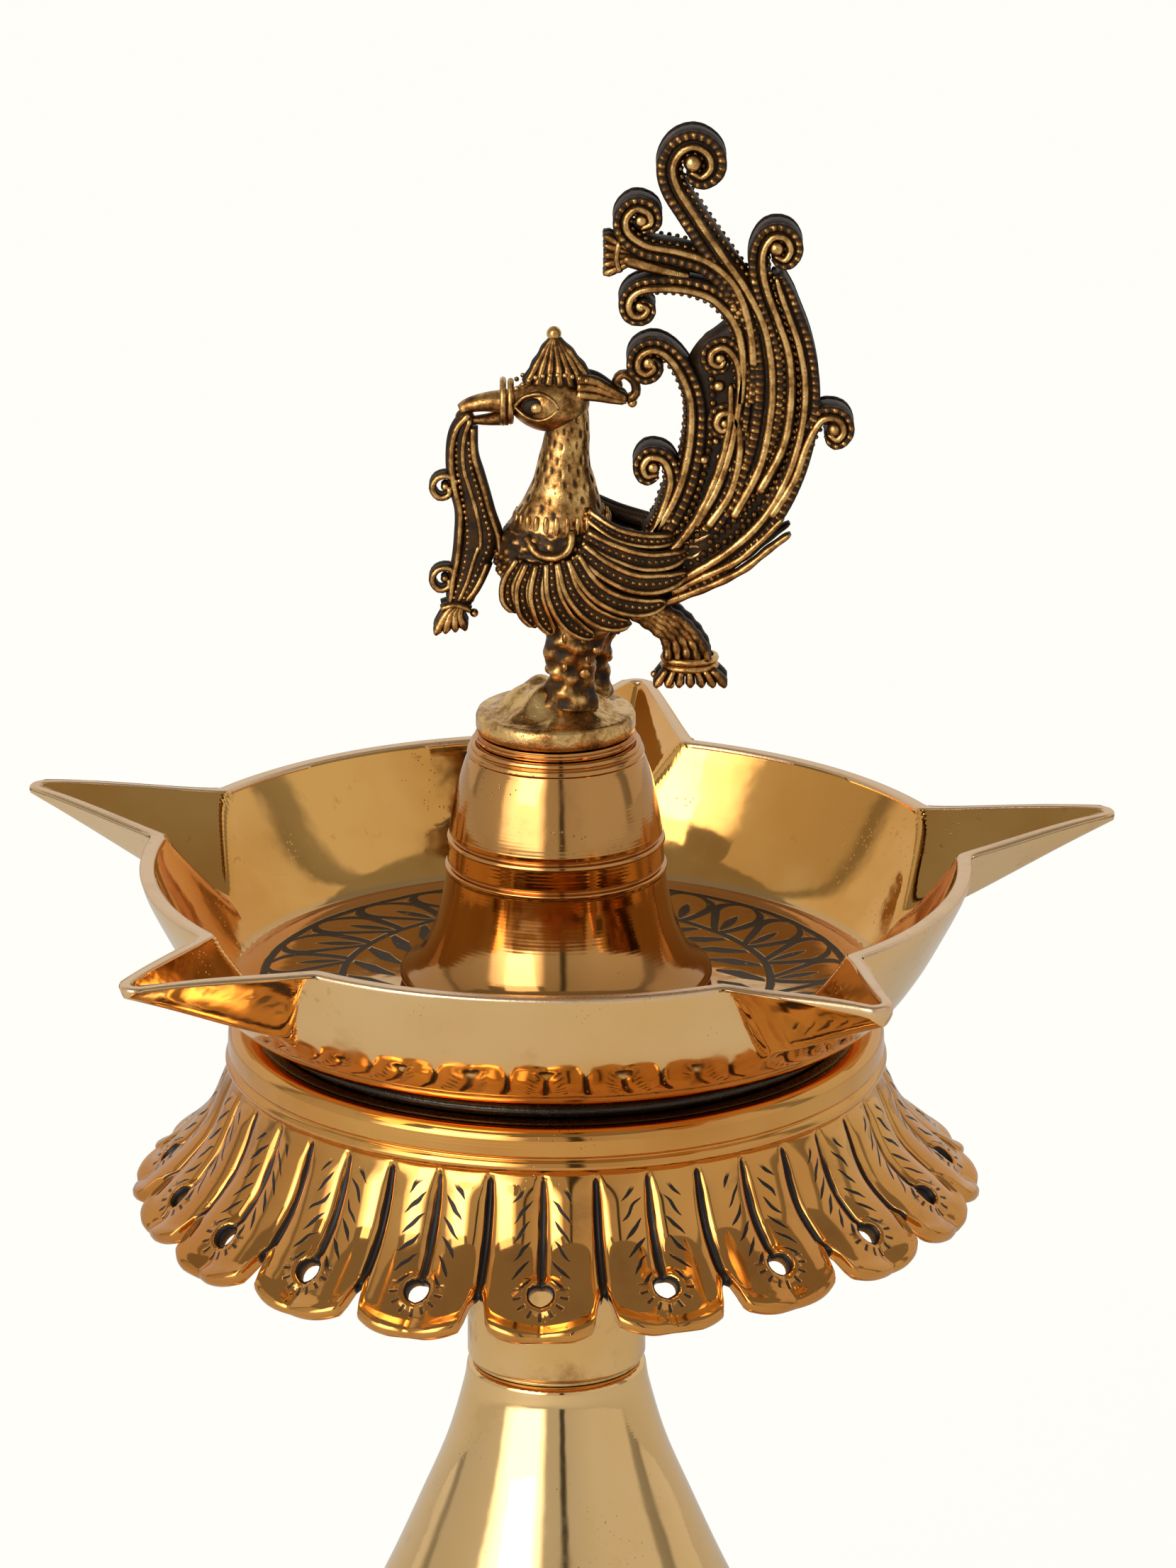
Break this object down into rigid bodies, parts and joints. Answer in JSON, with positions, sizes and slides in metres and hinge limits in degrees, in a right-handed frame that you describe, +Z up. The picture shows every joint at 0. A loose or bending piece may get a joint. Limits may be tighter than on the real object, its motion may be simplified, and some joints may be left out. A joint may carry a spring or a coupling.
{
  "type": "standing oil lamp",
  "caption": "Standing brass oil lamp: bell base, pierced lotus skirt, round dish with pinched wick spouts, bell column and a cast swan finial, in screw-together sections.",
  "frame": {"origin": "centre of the ring face that the foot stands on, on the lamp's axis", "axes": "+Z up along the lamp's axis; the swan faces -X; the front of the lamp is -Y"},
  "size_m": [0.1745, 0.1671, 0.3329],
  "materials": {
    "polished_brass": "polished cast and turned brass with fine turned lines, small pits and light tarnish",
    "antique_brass": "antique cast brass, black in the recesses and rubbed bright on the ridges",
    "machined_brass": "plain machined brass of the hidden threads, bushes and washers",
    "black_rubber": "glossy black ring"
  },
  "bodies": {
    "base": {"foot_ring": "polished_brass", "foot_bell": "polished_brass", "base_cone": "polished_brass", "base_stud": "machined_brass"},
    "neck_seat": {"neck_washer": "machined_brass"},
    "neck": {"neck_collar": "polished_brass", "petal_skirt": "polished_brass"},
    "dish_seat": {"seal_ring": "black_rubber"},
    "dish": {"oil_dish": "polished_brass", "dish_stud": "machined_brass"},
    "column_seat": {"column_washer": "machined_brass"},
    "column": {"bell_column": "polished_brass", "column_foot_bush": "machined_brass", "column_top_bush": "machined_brass"},
    "finial_seat": {"finial_washer": "machined_brass"},
    "finial": {"bird_finial": "antique_brass", "finial_stud": "machined_brass"}
  },
  "joints": [
    {"name": "neck_rise", "type": "slide", "parent": "base", "child": "neck_seat", "axis": [0, 0, 1], "range_m": [0, 0.01305]},
    {"name": "neck_unscrew", "type": "hinge", "parent": "neck_seat", "child": "neck", "pos_m": [0, 0, 0.2], "axis": [0, 0, 1], "range_deg": [0, 2340]},
    {"name": "dish_rise", "type": "slide", "parent": "neck", "child": "dish_seat", "axis": [0, 0, 1], "range_m": [0, 0.01305]},
    {"name": "dish_unscrew", "type": "hinge", "parent": "dish_seat", "child": "dish", "pos_m": [0, 0, 0.2], "axis": [0, 0, 1], "range_deg": [0, 2340]},
    {"name": "column_rise", "type": "slide", "parent": "dish", "child": "column_seat", "axis": [0, 0, 1], "range_m": [0, 0.01305]},
    {"name": "column_unscrew", "type": "hinge", "parent": "column_seat", "child": "column", "pos_m": [0, 0, 0.2], "axis": [0, 0, 1], "range_deg": [0, 2340]},
    {"name": "finial_rise", "type": "slide", "parent": "column", "child": "finial_seat", "axis": [0, 0, 1], "range_m": [0, 0.01205]},
    {"name": "finial_unscrew", "type": "hinge", "parent": "finial_seat", "child": "finial", "pos_m": [0, 0, 0.2], "axis": [0, 0, 1], "range_deg": [0, 2880]}
  ],
  "couplings": [
    {"joint": "neck_rise", "follows": "neck_unscrew", "m_per_rad": 0.00031831},
    {"joint": "dish_rise", "follows": "dish_unscrew", "m_per_rad": 0.00031831},
    {"joint": "column_rise", "follows": "column_unscrew", "m_per_rad": 0.00031831},
    {"joint": "finial_rise", "follows": "finial_unscrew", "m_per_rad": 0.00023873}
  ]
}
